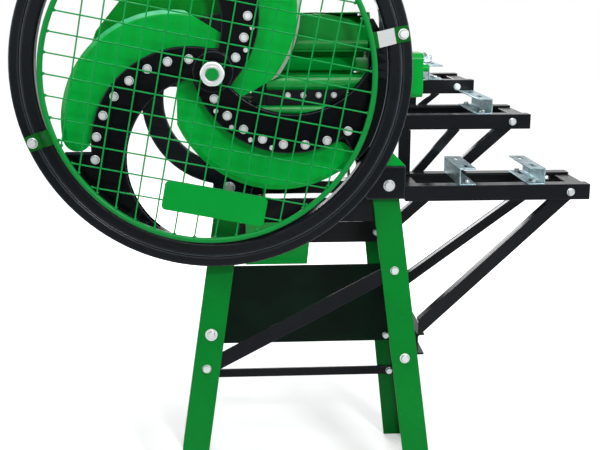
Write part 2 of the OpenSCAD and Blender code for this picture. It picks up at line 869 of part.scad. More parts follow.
module leg_front_left() leg(-1, -1);
module leg_front_right() leg(1, -1);
module leg_rear_left() leg(-1, 1);
module leg_rear_right() leg(1, 1);

// A flat piece against the inside of a leg pair's broad flanges, drilled for its bolts
module leg_slab(pair, t) {
    in_plane(pair) front_slab(pair < 0 ? leg_t : -leg_t - t, t) difference() {
        children();
        for (b = leg_bolts) if (b[1] == pair)
            translate([leg_mid(b[0], down(b[2])), down(b[2])]) circle(r = leg_bolt_r + gap);
    }
}

module diagonal_brace() {
    p = [leg_mid(-1, down(388)), down(388)];
    q = [leg_mid(1, down(622)), down(622)];
    u = (q - p) / norm(q - p);
    color(iron) leg_slab(-1, 6) flat_between(p - 20 * u, q + 20 * u, 36);
}

panel_z = [312, 548];

module rear_panel() {
    a = down(panel_z[0]);
    b = down(panel_z[1]);
    color(iron) leg_slab(1, 3) polygon([
        [leg_mid(-1, a) - 16, a], [leg_mid(1, a) + 16, a], [leg_mid(1, b) + 16, b], [leg_mid(-1, b) - 16, b]
    ]);
}

module lower_bar() {
    d = down(218);
    color(iron) leg_slab(1, 6) flat_between([leg_mid(-1, d) - 16, d], [leg_mid(1, d) + 16, d], 26);
}

module rear_beam() {
    d = down(645);
    color(iron) leg_slab(1, 8) flat_between([leg_mid(-1, d) - 16, d], [leg_mid(1, d) + 16, d], 60);
}

// Angle rails of the bed, between the legs' side flanges
bed_rail = 60;
bed_t = 6;
function flange_lean(side) = leg_w * sin(leg_splay) * tan(leg_lean(side)) + gap;
bed_x0 = leg_left_x - leg_w / 2 + leg_t + flange_lean(-1);
bed_x1 = leg_right_x + leg_w / 2 - leg_t - flange_lean(1);
bed_y0 = leg_front_y + leg_t + gap;
bed_y1 = leg_rear_y - leg_t - gap;

module front_bed_rail() {
    color(iron) placed() translate([bed_x0, bed_y0, bed_z]) union() {
        translate([0, 0, -bed_t]) cube([bed_x1 - bed_x0, bed_rail, bed_t]);
        translate([0, 0, -bed_rail]) cube([bed_x1 - bed_x0, bed_t, bed_rail]);
    }
}

module rear_bed_rail() {
    color(iron) placed() translate([bed_x0, bed_y1, bed_z]) union() {
        translate([0, -bed_rail, -bed_t]) cube([bed_x1 - bed_x0, bed_rail, bed_t]);
        translate([0, -bed_t, -bed_rail]) cube([bed_x1 - bed_x0, bed_t, bed_rail]);
    }
}

// Two side rails that tie the front bed rail to the rear one
module bed_side_rails() {
    y0 = bed_y0 + bed_rail + gap;
    l = bed_y1 - bed_rail - gap - y0;
    color(iron) placed() for (side = [-1, 1]) {
        xo = side < 0 ? bed_x0 : bed_x1 - bed_t;
        xt = side < 0 ? bed_x0 : bed_x1 - bed_rail;
        translate([xt, y0, bed_z - bed_t]) cube([bed_rail, l, bed_t]);
        translate([xo, y0, bed_z - bed_rail]) cube([bed_t, l, bed_rail]);
    }
}

// Sloping sheet that carries the cut chaff from under the throat down to the rear panel
module chaff_chute() {
    top = [bed_y0 + bed_rail - 8, bed_z - bed_t - gap];
    low = [leg_rear_y + (bed_z - panel_z[1]) * tan(leg_splay) - leg_t - 4, panel_z[1] + gap + 2];
    color(paint) placed() side_slab(70, 170)
        polygon([top, low, low + [0, sheet_t], top + [sheet_t, 0]]);
}

module frame_bolts() {
    color(bright) {
        for (b = leg_bolts) {
            d = down(b[2]);
            y0 = b[1] < 0 ? 0 : -leg_t - b[4];
            in_plane(b[1]) translate([leg_mid(b[0], d), y0, d])
                bolt(leg_bolt_r, leg_t + b[4] + 8, 10.5, b[3]);
        }
        placed() for (x = foot_bolt_x)
            translate([x, head_y, foot_bolt_z]) bolt(8, head_t + 22, 13, 16);
    }
}

// The motor platforms: angle rails, end bars, struts and slotted rails

// Angle rail along X: its upright is at y, its top flange runs inward (dir 1 is +y)
module rail_along_x(x0, x1, y, z, dir, hole_x) {
    difference() {
        union() {
            translate([x0, min(y, y + dir * rail_t), z - rail_w]) cube([x1 - x0, rail_t, rail_w]);
            translate([x0, min(y, y + dir * rail_w), z - rail_t]) cube([x1 - x0, rail_w, rail_t]);
        }
        translate([hole_x, 0, z - rail_w / 2]) y_rod(y - 2 * rail_t, y + 2 * rail_t, 5 + gap);
    }
}

// Angle end bar along Y, between the rails and under their top flanges
module end_bar(x, y, z, dir) {
    y0 = y[0] + rail_t + gap;
    l = y[1] - y[0] - 2 * (rail_t + gap);
    h = rail_w - rail_t - gap;
    translate([min(x, x + dir * rail_t), y0, z - rail_w]) cube([rail_t, l, h]);
    translate([min(x, x + dir * rail_w), y0, z - rail_t - gap - rail_t]) cube([rail_w, l, rail_t]);
}

function bolt_x(x1) = x1 - 48;

module platform(x0, x1, y, z) {
    color(iron) placed() {
        rail_along_x(x0, x1, y[0], z, 1, bolt_x(x1));
        rail_along_x(x0, x1, y[1], z, -1, bolt_x(x1));
        end_bar(x1 - gap, y, z, -1);
        end_bar(x0 + gap, y, z, 1);
    }
}

// Channel across a platform, open to the right (dir 1) or to the left (dir -1),
// with two slots along its flanges for the motor's feet and a bolt at each end
rail_end = 14;
rail_bolt = 15;

function rail_mid(y) = (y[0] + y[1] - rail_end) / 2;
function rail_bolt_y(y) = [y[0] + rail_bolt, y[1] - rail_end - rail_bolt];

module motor_rail(x, y, z, dir) {
    w = motor_rail_w;
    t = motor_rail_t;
    l = y[1] - rail_end - y[0];
    color(zinc) placed() translate([x, 0, z]) difference() {
        translate([-w / 2, y[0], 0]) cube([w, l, w]);
        translate([-w / 2 + dir * t, y[0] - 1, t]) cube([w, l + 2, w - 2 * t]);
        for (f = [1, -1]) translate([dir * t / 2, rail_mid(y) + f * slot_spacing / 2, -1]) {
            translate([-slot_w / 2, -(slot_l - slot_w) / 2, 0]) cube([slot_w, slot_l - slot_w, w + 2]);
            for (e = [1, -1]) translate([0, e * (slot_l - slot_w) / 2, 0]) cylinder(h = w + 2, d = slot_w);
        }
        for (b = rail_bolt_y(y)) translate([dir * t / 2, b, -1]) cylinder(h = t + 2, r = 4 + gap);
    }
}

// The bolts on a motor rail's lower flange, heads up
module rail_bolts(x, y, z, dir) {
    for (b = rail_bolt_y(y))
        translate([x + dir * motor_rail_t / 2, b, z + motor_rail_t]) rotate([-90, 0, 0])
            bolt(4, motor_rail_t, 7, 9);
}

slot_spacing = 110;
near_rail_x = [606, 775];
mid_rail_x = 690;
top_rail_x = 606;

module near_platform() platform(near_x0, near_x1, near_y, near_z);
module mid_platform() platform(mid_x0, mid_x1, mid_y, mid_z);
module top_platform() platform(top_x0, top_x1, top_y, top_z);

module near_motor_rails() {
    motor_rail(near_rail_x[0], near_y, near_z, 1);
    motor_rail(near_rail_x[1], near_y, near_z, -1);
}

module mid_motor_rail() motor_rail(mid_rail_x, mid_y, mid_z, -1);
module top_motor_rail() motor_rail(top_rail_x, top_y, top_z, 1);

// Angle-iron strut: its web lies in a plane y0 to y0 + t, drilled at p for the platform's bolt,
// its flange runs along the upper edge (dir 1 is +y), and it is cut upright at q
// and level under the end bar at p
module strut(p, q, y0, t, w, dir) {
    u = (p - q) / norm(p - q);
    up = [-u[1], u[0]];
    flange = 26;
    color(iron) placed() difference() {
        intersection() {
            union() {
                front_slab(y0, t) flat_between(q - w * u, p + 14 * u, w);
                front_slab(min(y0, y0 + t + dir * flange - (dir > 0 ? t : 0)), flange)
                    flat_between(q - w * u + (w - t) / 2 * up, p - 26 * u + (w - t) / 2 * up, t);
            }
            front_slab(y0 - 2 * flange, 4 * flange) translate(q - [0, 2 * w])
                square([2 * norm(p - q), p[1] - q[1] + 2 * w + rail_w / 2 - 2 * (rail_t + gap)]);
        }
        translate([p[0], 0, p[1]]) y_rod(y0 - 1, y0 + t + 1, 5 + gap);
    }
}

// Outer face of the right legs at a height
function leg_outside(z) = leg_right_x + (bed_z - z) / cos(leg_splay) * tan(lean_right)
    + leg_w / 2 / cos(lean_right);

// A channel ties the right legs low down, and two plates stand forward from the rear one
tie_h = 56;
tie_w = 20;
tie_t = 5;
tie_z = 400;
seat_z = [535, 690];
seat_h = 36;
tie_x = leg_outside(tie_z) + gap;
function seat_x(z) = leg_outside(z - seat_h / 2) + gap;
function rear_leg_y(z) = leg_rear_y + (bed_z - z) * tan(leg_splay);

// Struts under the front platform, and what they stand on
module near_struts() {
    top = [bolt_x(near_x1), near_z - rail_w / 2];
    strut(top, [tie_x + tie_t, tie_z + tie_h + 14], near_y[0] + rail_t, 6, 32, 1);
    strut(top, [seat_x(seat_z[0]) + tie_t + gap, seat_z[0]], near_y[1] - rail_t - 6, 6, 32, -1);
    color(iron) placed() {
        translate([tie_x, near_y[0] + rail_t, tie_z]) difference() {
            cube([tie_w, rear_leg_y(tie_z) - near_y[0] - rail_t - leg_t, tie_h]);
            translate([tie_t, -1, tie_t]) cube([tie_w, 1000, tie_h - 2 * tie_t]);
        }
        for (z = seat_z) translate([seat_x(z), near_y[1] - 30, z - seat_h / 2])
            cube([tie_t, rear_leg_y(z) - leg_t - near_y[1] + 30, seat_h]);
    }
}

// An upright post and a sloping one between a lower platform's rear rail and the next front rail
module posts(x0, lean_x, y, z0, z1, w) {
    a = z0 + gap;
    b = z1 - rail_w - gap;
    x2 = x0 + w + 6;
    color(iron) placed() front_slab(y - 8, 8 + rail_t) {
        polygon([[x0, a], [x0 + w, a], [x0 + w, b], [x0, b]]);
        polygon([[x2, a], [x2 + w, a], [x2 + w + lean_x, b], [x2 + lean_x, b]]);
    }
}

// Posts and long strut of the middle platform
module mid_struts() {
    posts(mid_x0, 92, mid_y[0], near_z, mid_z, 30);
    strut([bolt_x(mid_x1), mid_z - rail_w / 2], [seat_x(seat_z[1]) + tie_t + gap, seat_z[1]],
        mid_y[0] + rail_t, 6, 28, 1);
}

module top_strut() {
    posts(top_x0, 36, top_y[0], mid_z, top_z, 24);
}

module platform_bolts() {
    color(bright) placed() {
        translate([bolt_x(near_x1), near_y[0], near_z - rail_w / 2]) bolt(5, 16, 9, 11);
        translate([bolt_x(mid_x1), mid_y[0], mid_z - rail_w / 2]) bolt(5, 16, 9, 11);
        translate([bolt_x(top_x1), top_y[0], top_z - rail_w / 2]) bolt(5, 12, 9, 11);
        rail_bolts(near_rail_x[0], near_y, near_z, 1);
        rail_bolts(near_rail_x[1], near_y, near_z, -1);
        rail_bolts(mid_rail_x, mid_y, mid_z, -1);
        rail_bolts(top_rail_x, top_y, top_z, 1);
    }
}

// Rear face of the rear beam at a height
function beam_back(z) = leg_rear_y + (bed_z - z) * tan(leg_splay) - leg_t / cos(leg_splay) + gap;

// Two flat props from the rear beam up to the trough's tail
module trough_props() {
    p = [beam_back(645) - 20, 625];
    q = [trough_y1 - 40, trough_z + 20];
    z1 = trough_z - gap;
    color(iron) placed() for (x = [side_in_l - side_t, side_in_r])
        side_slab(x, side_t) intersection() {
            flat_between(p, q, 28);
            polygon([[beam_back(500), 500], [trough_y1, 500], [trough_y1, z1], [beam_back(z1), z1]]);
        }
}

flywheel();
blade_left();
blade_top();
blade_right();
blade_bolts();
guard_ring();
guard_mesh();
guard_plate();
guard_bolts();
hub_nut();
hub_washer();
hub_sleeve();
main_shaft();
worm();
lower_roller();
lower_roller_shaft();
lower_worm_wheel();
upper_roller();
upper_roller_shaft();
upper_worm_wheel();
head_plate();
mouth_cap();
throat_lip();
ledger_plate();
ledger_bolts();
front_bearing();
rear_bearing();
bearing_bracket();
gear_bracket();
gear_guard();
roller_bushes();
throat_side_left();
throat_side_right();
gear_case();
feed_trough();
front_bed_rail();
rear_bed_rail();
leg_front_left();
leg_front_right();
leg_rear_left();
leg_rear_right();
rear_panel();
lower_bar();
diagonal_brace();
rear_beam();
trough_props();
bed_side_rails();
chaff_chute();
frame_bolts();
near_platform();
near_struts();
near_motor_rails();
mid_platform();
mid_struts();
mid_motor_rail();
top_platform();
top_strut();
top_motor_rail();
platform_bolts();
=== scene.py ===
"""Looks of a chaff cutter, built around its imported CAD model, in metres."""

import json
import math

import bmesh
import bpy
from mathutils import Matrix, Vector

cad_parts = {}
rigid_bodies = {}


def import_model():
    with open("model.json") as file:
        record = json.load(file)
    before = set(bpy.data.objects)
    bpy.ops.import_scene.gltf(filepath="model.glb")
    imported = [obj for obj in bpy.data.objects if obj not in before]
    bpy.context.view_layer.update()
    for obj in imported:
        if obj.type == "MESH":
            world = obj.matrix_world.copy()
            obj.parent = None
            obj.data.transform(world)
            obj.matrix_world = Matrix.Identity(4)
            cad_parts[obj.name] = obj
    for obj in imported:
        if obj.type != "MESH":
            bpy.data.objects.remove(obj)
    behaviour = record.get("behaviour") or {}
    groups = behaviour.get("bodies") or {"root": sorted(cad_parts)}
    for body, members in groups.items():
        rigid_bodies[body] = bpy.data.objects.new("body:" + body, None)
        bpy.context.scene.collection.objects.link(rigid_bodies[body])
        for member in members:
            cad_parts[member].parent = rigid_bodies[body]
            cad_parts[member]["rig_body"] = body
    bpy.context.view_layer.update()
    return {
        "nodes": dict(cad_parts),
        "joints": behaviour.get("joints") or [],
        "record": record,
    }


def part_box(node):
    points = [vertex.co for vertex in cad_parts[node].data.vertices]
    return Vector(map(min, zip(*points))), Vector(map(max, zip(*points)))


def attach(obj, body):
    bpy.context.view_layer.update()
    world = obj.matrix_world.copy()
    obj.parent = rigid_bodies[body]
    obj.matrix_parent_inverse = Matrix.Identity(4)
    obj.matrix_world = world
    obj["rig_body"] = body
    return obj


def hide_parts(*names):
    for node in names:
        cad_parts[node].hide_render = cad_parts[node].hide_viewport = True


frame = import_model()


# Camera: a 60 mm lens a little over two metres in front of the wheel and above it,
# turned slightly to the right and tipped down, as the machine was photographed.
camera = bpy.data.objects.new("camera", bpy.data.cameras.new("camera"))
bpy.context.scene.collection.objects.link(camera)
tipped_down = 13.2
turned_right = 3.34
camera.data.lens = 60.0
camera.data.sensor_width = 36.0
camera.location = (-0.1615, -2.673, 1.290)
camera.rotation_euler = (math.radians(90 - tipped_down), 0.0, math.radians(-turned_right))
bpy.context.scene.camera = camera


# Studio: a white paper floor that runs on into a white surround, under one large soft lamp,
# with a small key lamp for crisp highlights, a fill at each side and one behind.
def srgb(code):
    """Linear colour of a six-digit sRGB hex value."""
    parts = [int(code[i:i + 2], 16) / 255 for i in (1, 3, 5)]
    return [p / 12.92 if p <= 0.04045 else ((p + 0.055) / 1.055) ** 2.4 for p in parts] + [1.0]


def node(tree, kind, links=None, **settings):
    """Adds a node with its settings and its links."""
    made = tree.nodes.new(kind)
    for key, value in settings.items():
        setattr(made, key, value)
    for socket, source in (links or {}).items():
        if hasattr(source, "is_linked"):
            tree.links.new(source, made.inputs[socket])
        else:
            made.inputs[socket].default_value = source
    return made


world = bpy.data.worlds.new("white_surround")
bpy.context.scene.world = world
world.use_nodes = True
sky = world.node_tree
sky.nodes.clear()
ray = node(sky, "ShaderNodeLightPath")
direct = node(sky, "ShaderNodeMath", {0: ray.outputs["Is Camera Ray"], 1: ray.outputs["Is Glossy Ray"]},
              operation="MAXIMUM")
seen = node(sky, "ShaderNodeMath", {0: direct.outputs[0], 1: ray.outputs["Is Transmission Ray"]},
            operation="MAXIMUM")
soft = node(sky, "ShaderNodeBackground", {"Color": srgb("#F2F5F8"), "Strength": 0.3})
white = node(sky, "ShaderNodeBackground", {"Color": srgb("#FFFFFF"), "Strength": 1.0})
surround = node(sky, "ShaderNodeMixShader", {0: seen.outputs[0], 1: soft.outputs[0],
                                             2: white.outputs[0]})
node(sky, "ShaderNodeOutputWorld", {"Surface": surround.outputs[0]})

floor_half = 12.0
bm = bmesh.new()
bmesh.ops.create_grid(bm, x_segments=1, y_segments=1, size=floor_half)
floor_mesh = bpy.data.meshes.new("paper_floor")
bm.to_mesh(floor_mesh)
bm.free()
floor = bpy.data.objects.new("paper_floor", floor_mesh)
bpy.context.scene.collection.objects.link(floor)

# Matt white paper. What the camera sees of it is lifted to the surround's white, more so away
# from the machine, so no horizon shows, and its own shading still carries the shadow.
near_r = 0.4
far_r = 2.2
near_lift = 0.25
far_lift = 0.82
paper = bpy.data.materials.new("matt_white_paper")
paper.use_nodes = True
tree = paper.node_tree
sheet = tree.nodes["Principled BSDF"]
sheet.inputs["Base Color"].default_value = srgb("#F4F4F4")
sheet.inputs["Roughness"].default_value = 0.95
sheet.inputs["Specular IOR Level"].default_value = 0.1
ray = node(tree, "ShaderNodeLightPath")
spot = node(tree, "ShaderNodeTexCoord").outputs["Object"]
away = node(tree, "ShaderNodeVectorMath", {0: spot}, operation="LENGTH")
level = node(tree, "ShaderNodeMapRange", {"Value": away.outputs["Value"], "From Min": near_r,
                                          "From Max": far_r, "To Min": near_lift, "To Max": far_lift})
lift = node(tree, "ShaderNodeMath", {0: ray.outputs["Is Camera Ray"], 1: level.outputs[0]},
            operation="MULTIPLY")
glow = node(tree, "ShaderNodeEmission", {"Strength": lift.outputs[0]})
both = node(tree, "ShaderNodeAddShader", {0: sheet.outputs[0], 1: glow.outputs[0]})
tree.links.new(both.outputs[0], tree.nodes["Material Output"].inputs["Surface"])
floor.data.materials.append(paper)

# Each lamp has its place, the point that it is aimed at, its watts and its width.
for name, place, aim, power, size in (
    ("overhead", (-0.3, -1.5, 3.3), (0.0, -0.1, 0.8), 48, 1.8),
    ("key", (1.1, -3.3, 2.6), (0.0, -0.3, 0.9), 58, 0.5),
    ("left_fill", (-3.0, -1.6, 1.5), (0.0, -0.1, 0.9), 14, 1.8),
    ("right_fill", (2.9, -1.6, 1.7), (0.1, -0.1, 0.9), 22, 1.8),
    ("behind", (-0.5, 3.2, 2.5), (0.0, 0.1, 0.7), 95, 2.2),
):
    lamp = bpy.data.objects.new(name, bpy.data.lights.new(name, "AREA"))
    bpy.context.scene.collection.objects.link(lamp)
    lamp.data.energy = power
    lamp.data.size = size
    lamp.location = place
    lamp.rotation_euler = (Vector(aim) - Vector(place)).to_track_quat("-Z", "Y").to_euler()
bpy.context.scene.view_settings.view_transform = "Standard"


# Legs: four lengths of 65 mm hot-rolled angle iron, splayed and leaned outwards. Each is
# sawn to length, drilled and sprayed green, then bolted to the bed through its flanges.
leg_rounding = 0.0016
widest_hole = 0.046
sharp_bend = 32
flat_bend = 0.3
weld_gap = 1e-6


def crease(bm, degrees):
    """Smooth faces that meet sharply only past an angle."""
    for face in bm.faces:
        face.smooth = True
    for edge in bm.edges:
        edge.smooth = edge.calc_face_angle(0.0) < math.radians(degrees)


def finished(name, rounding, paint, segments=2, sharp=sharp_bend, crisp=widest_hole):
    """A painted copy of a CAD node in its place, with its edges rounded but for holes up to a size."""
    bm = bmesh.new()
    bm.from_mesh(frame["nodes"][name].data)
    bmesh.ops.remove_doubles(bm, verts=bm.verts, dist=weld_gap)
    bmesh.ops.dissolve_limit(bm, angle_limit=math.radians(flat_bend), verts=bm.verts, edges=bm.edges)
    bmesh.ops.triangulate(bm, faces=[f for f in bm.faces if len(f.verts) > 4], ngon_method="BEAUTY")
    crease(bm, sharp)
    weight = bm.edges.layers.float.new("bevel_weight_edge")
    waiting = {edge for edge in bm.edges if not edge.smooth}
    while waiting:
        chain = [waiting.pop()]
        for edge in chain:
            near = {e for v in edge.verts for e in v.link_edges} & waiting
            waiting -= near
            chain.extend(near)
        points = [v.co for e in chain for v in e.verts]
        start = min(points, key=lambda c: c.to_tuple(5))
        if max((c - start).length for c in points) > crisp:
            for edge in chain:
                edge[weight] = 1.0
    mesh = bpy.data.meshes.new(name + "_finished")
    bm.to_mesh(mesh)
    bm.free()
    piece = bpy.data.objects.new(name + "_finished", mesh)
    bpy.context.scene.collection.objects.link(piece)
    if rounding:
        edges = piece.modifiers.new("rounded_edges", "BEVEL")
        edges.width = rounding
        edges.segments = segments
        edges.limit_method = "WEIGHT"
        edges.use_clamp_overlap = False
        edges.loop_slide = False
        edges.face_strength_mode = "FSTR_ALL"
        flat = piece.modifiers.new("flat_faces", "WEIGHTED_NORMAL")
        flat.use_face_influence = True
        flat.keep_sharp = True
    piece.data.materials.append(paint)
    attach(piece, frame["nodes"][name]["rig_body"])
    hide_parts(name)
    return piece


# Alkyd enamel levels to a gloss with a faint orange peel, some 3 mm across, drawn at 8 mm
# so that it shows. Thin and thick passes of the gun shift the tone over a hand's width, some
# 120 mm, and handling leaves the gloss uneven in patches of about 35 mm.
def enamel(name, code, thin_code, roughness, specular):
    """Sprayed gloss enamel of one colour."""
    paint = bpy.data.materials.new(name)
    paint.use_nodes = True
    tree = paint.node_tree
    shader = tree.nodes["Principled BSDF"]
    shader.inputs["IOR"].default_value = 1.5
    shader.inputs["Specular IOR Level"].default_value = specular
    place = node(tree, "ShaderNodeTexCoord").outputs["Object"]
    passes = node(tree, "ShaderNodeTexNoise", {"Vector": place, "Scale": 1000 / 120, "Detail": 2.0})
    tone = node(tree, "ShaderNodeMix", {0: passes.outputs[0], 6: srgb(code), 7: srgb(thin_code)},
                data_type="RGBA")
    handling = node(tree, "ShaderNodeTexNoise", {"Vector": place, "Scale": 1000 / 35, "Detail": 4.0})
    gloss = node(tree, "ShaderNodeMapRange", {"Value": handling.outputs[0], "To Min": roughness - 0.07,
                                              "To Max": roughness + 0.09})
    peel = node(tree, "ShaderNodeTexNoise", {"Vector": place, "Scale": 1000 / 8, "Detail": 1.0})
    level = node(tree, "ShaderNodeBump", {"Height": peel.outputs[0], "Strength": 0.12,
                                          "Distance": 0.0005})
    tree.links.new(tone.outputs[2], shader.inputs["Base Color"])
    tree.links.new(gloss.outputs[0], shader.inputs["Roughness"])
    tree.links.new(level.outputs[0], shader.inputs["Normal"])
    return paint


leg_enamel = enamel("leg_green_enamel", "#006B22", "#007B29", 0.24, 0.1)
# The rear legs take a darker green than the front ones, as painted shade.
rear_leg_shaded_enamel = enamel("rear_leg_green_with_painted_shade", "#00561B", "#006522", 0.24, 0.1)
for name in ("leg_front_left", "leg_front_right"):
    finished(name, leg_rounding, leg_enamel)
for name in ("leg_rear_left", "leg_rear_right"):
    finished(name, leg_rounding, rear_leg_shaded_enamel)


# Bed and bracing: an angle frame on top of the legs, a sheet panel and a beam between the
# rear legs, and two flat bars in front. Cut, drilled, sprayed black and bolted to the legs.
bed_rounding = 0.0015
bar_rounding = 0.0012
panel_rounding = 0.0006
black_enamel = enamel("black_enamel", "#0A0C0F", "#121519", 0.22, 0.16)
for name in ("front_bed_rail", "rear_bed_rail", "bed_side_rails"):
    finished(name, bed_rounding, black_enamel)
for name in ("lower_bar", "diagonal_brace", "rear_beam"):
    finished(name, bar_rounding, black_enamel)

# The panel's black drifts towards green in patches, a painted reflection of the green parts near it.
panel_reflection_enamel = enamel("black_enamel_with_painted_green_reflection", "#020506", "#052416", 0.3, 0.08)
finished("rear_panel", panel_rounding, panel_reflection_enamel)


# Frame bolts: hex-head bolts with flat washers, a nut behind each, all bright zinc plated.
# They hold the legs to the bed and the bracing to the legs, tightened by hand at any angle.
washer_t = 0.002
head_share = 0.7
snug = 0.88
nut_t = 0.0075
nut_from_end = 0.0015
corner_cut = 0.3
rim_break = 0.0005
head_bend = 25
turn_step = 23
square_bend = math.radians(57)
end_slack = 5e-5


def bolt_sites(name):
    """Seat, direction and sizes of each bolt in a CAD node of bolts."""
    bm = bmesh.new()
    bm.from_mesh(frame["nodes"][name].data)
    bmesh.ops.remove_doubles(bm, verts=bm.verts, dist=weld_gap)
    waiting = set(bm.faces)
    sites = []
    while waiting:
        group = [waiting.pop()]
        for face in group:
            near = {f for e in face.edges for f in e.link_faces} & waiting
            waiting -= near
            group.extend(near)
        ends = {}
        for face in group:
            along = face.normal if max(face.normal, key=abs) < 0 else -face.normal
            key = tuple(round(c, 2) for c in along)
            ends[key] = ends.get(key, Vector()) + along * face.calc_area()
        axis = max(ends.values(), key=lambda total: total.length).normalized()
        points = {v for face in group for v in face.verts}
        radii = []
        for way in (axis, -axis):
            top = max(v.co.dot(way) for v in points)
            cap = [v.co for v in points if v.co.dot(way) > top - end_slack]
            middle = sum(cap, Vector()) / len(cap)
            radii.append((max((c - middle).length for c in cap), way, middle))
        radii.sort(key=lambda row: (round(row[0], 4), -row[1].y))
        (tail_r, way, tail), (head_r, out, crown) = radii
        washer_r = max(((v.co - crown) - out * (v.co - crown).dot(out)).length for v in points)
        sites.append((crown, out, head_r, washer_r, tail_r, (crown - tail).length))
    bm.free()
    return sorted(sites, key=lambda site: site[0].to_tuple(4))


def bolt_shape(head_r, washer_r, shank_r, length, nut):
    """A bolt with its washer and nut, upright, its crown at the origin."""
    head_r *= snug
    washer_r *= snug
    bm = bmesh.new()
    seat = -head_share * head_r - washer_t
    rounds = [(washer_r, seat, seat + washer_t, 32), (shank_r, -length, seat, 20)]
    hexes = [(head_r, seat + washer_t, 0.0)]
    if nut:
        hexes.append((head_r, nut_from_end - length, nut_from_end - length + nut_t))
    for r, low, high, count in rounds:
        middle = Matrix.Translation((0, 0, (low + high) / 2))
        rod = bmesh.ops.create_cone(bm, cap_ends=True, segments=count, radius1=r, radius2=r,
                                    depth=high - low, matrix=middle)
        rims = {e for v in rod["verts"] for e in v.link_edges if e.calc_face_angle(0.0) > square_bend}
        bmesh.ops.bevel(bm, geom=list(rims), offset=rim_break, offset_type="OFFSET", segments=1,
                        profile=0.5, affect="EDGES", material=-1)
    for r, low, high in hexes:
        middle = Matrix.Translation((0, 0, (low + high) / 2))
        block = bmesh.ops.create_cone(bm, cap_ends=True, segments=6, radius1=r, radius2=r,
                                      depth=high - low, matrix=middle)
        bmesh.ops.bevel(bm, geom=block["verts"], offset=corner_cut * r, offset_type="OFFSET",
                        segments=1, profile=0.5, affect="VERTICES", material=-1, clamp_overlap=True)
    crease(bm, head_bend)
    mesh = bpy.data.meshes.new("bolt_shape")
    bm.to_mesh(mesh)
    bm.free()
    return mesh


def bolted(name, plating, nut):
    """The bolts of a CAD node of bolts, each turned a little differently."""
    bm = bmesh.new()
    shapes = {}
    for count, (crown, out, *sizes) in enumerate(bolt_sites(name)):
        key = tuple(round(s, 5) for s in sizes)
        if key not in shapes:
            shapes[key] = bolt_shape(*sizes, nut)
        before = len(bm.verts)
        bm.from_mesh(shapes[key])
        bm.verts.ensure_lookup_table()
        turn = out.to_track_quat("Z", "Y").to_matrix().to_4x4()
        spin = Matrix.Rotation(math.radians(turn_step * count), 4, "Z")
        bmesh.ops.transform(bm, matrix=Matrix.Translation(crown) @ turn @ spin, verts=bm.verts[before:])
    mesh = bpy.data.meshes.new(name + "_fitted")
    bm.to_mesh(mesh)
    bm.free()
    for shape in shapes.values():
        bpy.data.meshes.remove(shape)
    piece = bpy.data.objects.new(name + "_fitted", mesh)
    bpy.context.scene.collection.objects.link(piece)
    piece.data.materials.append(plating)
    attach(piece, frame["nodes"][name]["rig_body"])
    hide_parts(name)


# Bright zinc plating: a thin barrel-plated coat, pale and slightly blue, with soft cloudy
# patches about 9 mm across, and painted shade, near black, in the corner between a head and its washer.
bright_zinc = bpy.data.materials.new("bright_zinc_plating")
bright_zinc.use_nodes = True
tree = bright_zinc.node_tree
shader = tree.nodes["Principled BSDF"]
shader.inputs["Metallic"].default_value = 1.0
place = node(tree, "ShaderNodeTexCoord").outputs["Object"]
patches = node(tree, "ShaderNodeTexNoise", {"Vector": place, "Scale": 1000 / 9, "Detail": 3.0})
tone = node(tree, "ShaderNodeMix", {0: patches.outputs[0], 6: srgb("#D8E0E0"), 7: srgb("#F4F7F7")},
            data_type="RGBA")
# Painted shade: the corner between a head and its washer is darkened towards near black.
corner = node(tree, "ShaderNodeAmbientOcclusion", {"Distance": 0.003}, only_local=True, samples=8)
unshaded_share = node(tree, "ShaderNodeMapRange", {"Value": corner.outputs["AO"], "From Min": 0.55,
                                          "From Max": 0.8})
plated_with_painted_shade = node(tree, "ShaderNodeMix", {0: unshaded_share.outputs[0], 6: srgb("#1A1E20"), 7: tone.outputs[2]},
              data_type="RGBA")
dulled = node(tree, "ShaderNodeMapRange", {"Value": patches.outputs[0], "To Min": 0.42, "To Max": 0.2})
tree.links.new(plated_with_painted_shade.outputs[2], shader.inputs["Base Color"])
tree.links.new(dulled.outputs[0], shader.inputs["Roughness"])

bolted("frame_bolts", bright_zinc, True)


# Head casting: one iron casting with the mouth, a round shoulder, windows and two feet, and
# the bearing housings and brackets on it. Sand cast, fettled and sprayed gloss black.
cast_rounding = 0.0025
bracket_rounding = 0.0012
wall_lean = 0.3
